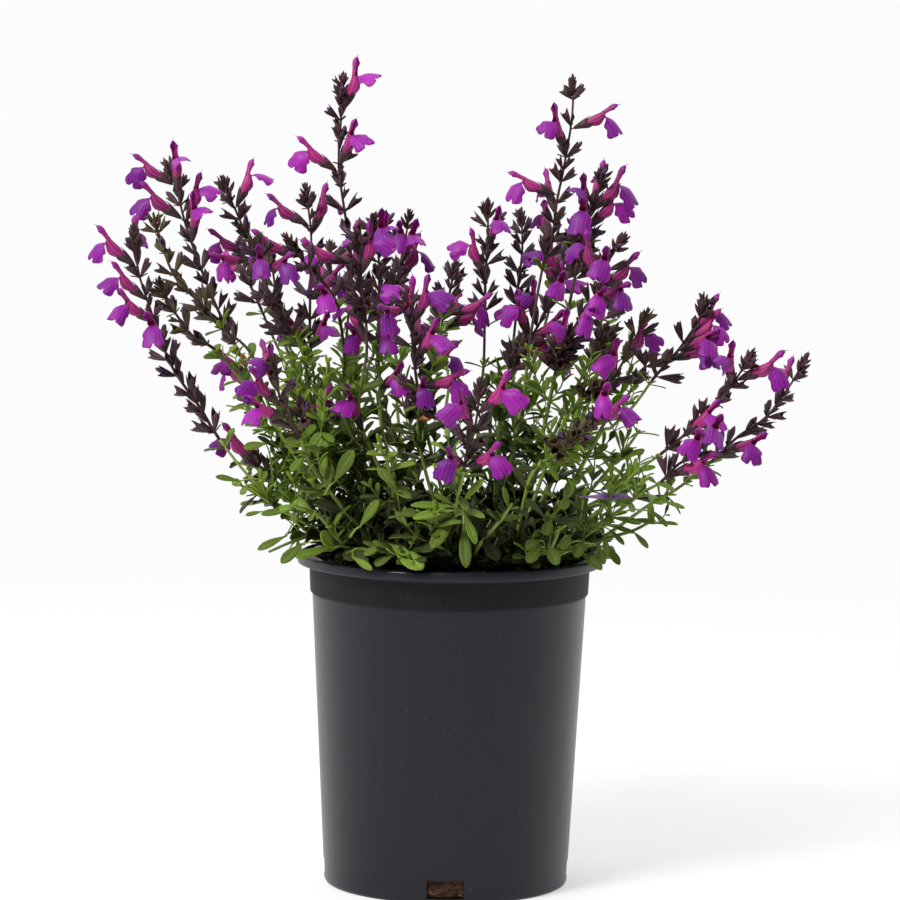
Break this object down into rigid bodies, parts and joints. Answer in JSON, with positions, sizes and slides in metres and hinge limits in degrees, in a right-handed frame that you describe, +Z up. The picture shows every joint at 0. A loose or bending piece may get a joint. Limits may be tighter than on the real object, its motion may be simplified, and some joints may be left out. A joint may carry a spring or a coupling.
{
  "type": "perennial salvia in a nursery pot",
  "caption": "Bushy potted salvia: leafy green clumps in a tapered black nursery pot, each shoot ending in a dark, open spike of two-lipped purple flowers.",
  "frame": {"origin": "centre of the pot's flat base, on the surface it stands on", "axes": "+Z up along the pot's axis; +X to the right and -Y towards the viewer of the plant's front, where one drain hole faces -Y"},
  "size_m": [0.4036, 0.3107, 0.4606],
  "materials": {
    "pot_plastic": "satin",
    "potting_mix": "matte",
    "green_growth": "matte",
    "flower_spikes": "matte"
  },
  "bodies": {
    "root": {"pot": "pot_plastic", "soil": "potting_mix", "leafy_clump_01": "green_growth", "leafy_clump_02": "green_growth", "leafy_clump_03": "green_growth", "leafy_clump_04": "green_growth", "leafy_clump_05": "green_growth", "leafy_clump_06": "green_growth", "leafy_clump_07": "green_growth", "leafy_clump_08": "green_growth", "leafy_clump_09": "green_growth", "leafy_clump_10": "green_growth", "leafy_clump_11": "green_growth", "leafy_clump_12": "green_growth", "leafy_clump_13": "green_growth", "leafy_clump_14": "green_growth", "leafy_clump_15": "green_growth", "leafy_clump_16": "green_growth", "leafy_clump_17": "green_growth", "leafy_clump_18": "green_growth", "leafy_clump_19": "green_growth", "flower_spike_01": "flower_spikes", "flower_spike_02": "flower_spikes", "flower_spike_03": "flower_spikes", "flower_spike_04": "flower_spikes", "flower_spike_05": "flower_spikes", "flower_spike_06": "flower_spikes", "flower_spike_07": "flower_spikes", "flower_spike_08": "flower_spikes", "flower_spike_09": "flower_spikes", "flower_spike_10": "flower_spikes", "flower_spike_11": "flower_spikes", "flower_spike_12": "flower_spikes", "flower_spike_13": "flower_spikes", "flower_spike_14": "flower_spikes", "flower_spike_15": "flower_spikes", "flower_spike_16": "flower_spikes", "flower_spike_17": "flower_spikes", "flower_spike_18": "flower_spikes", "flower_spike_19": "flower_spikes", "flower_spike_20": "flower_spikes", "flower_spike_21": "flower_spikes", "flower_spike_22": "flower_spikes", "flower_spike_23": "flower_spikes", "flower_spike_24": "flower_spikes", "flower_spike_25": "flower_spikes", "flower_spike_26": "flower_spikes", "flower_spike_27": "flower_spikes", "flower_spike_28": "flower_spikes", "flower_spike_29": "flower_spikes", "flower_spike_30": "flower_spikes", "flower_spike_31": "flower_spikes", "flower_spike_32": "flower_spikes", "flower_spike_33": "flower_spikes", "flower_spike_34": "flower_spikes", "flower_spike_35": "flower_spikes", "flower_spike_36": "flower_spikes", "flower_spike_37": "flower_spikes", "flower_spike_38": "flower_spikes", "flower_spike_39": "flower_spikes"}
  },
  "joints": []
}
